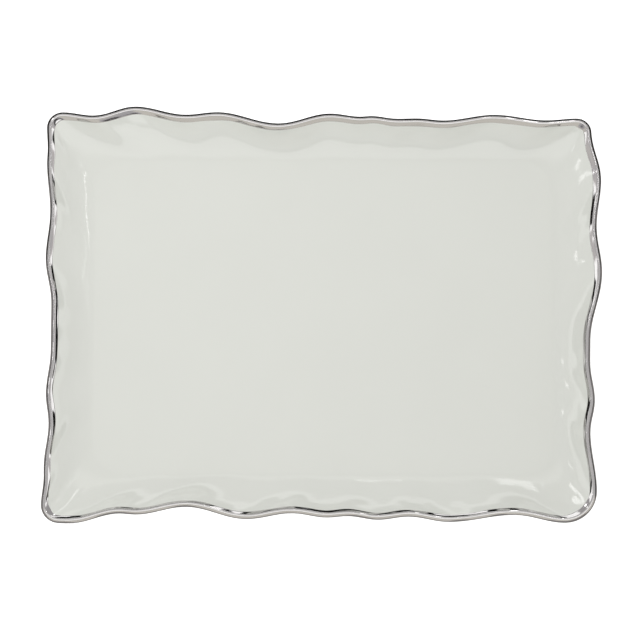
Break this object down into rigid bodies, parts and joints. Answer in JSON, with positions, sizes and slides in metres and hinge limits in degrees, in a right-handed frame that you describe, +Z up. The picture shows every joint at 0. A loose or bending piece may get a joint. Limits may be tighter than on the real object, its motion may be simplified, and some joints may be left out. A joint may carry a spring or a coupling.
{
  "type": "china serving platter",
  "caption": "Large shallow rectangular porcelain platter with a hand-rippled rim, a platinum band over the lip, and foot rings underneath.",
  "frame": {"origin": "middle of the platter's footprint, on the surface that the foot rings stand on", "axes": "+X along the length, +Y along the width towards the back, +Z up"},
  "size_m": [0.457, 0.346, 0.03],
  "materials": {
    "biscuit": "matte",
    "glaze": "gloss",
    "platinum": "polished"
  },
  "bodies": {
    "root": {"porcelain_body": "biscuit", "outer_foot_ring": "biscuit", "centre_foot_ring": "biscuit", "well_glaze": "glaze", "underside_glaze": "glaze", "base_glaze": "glaze", "rim_band": "platinum"}
  },
  "joints": []
}
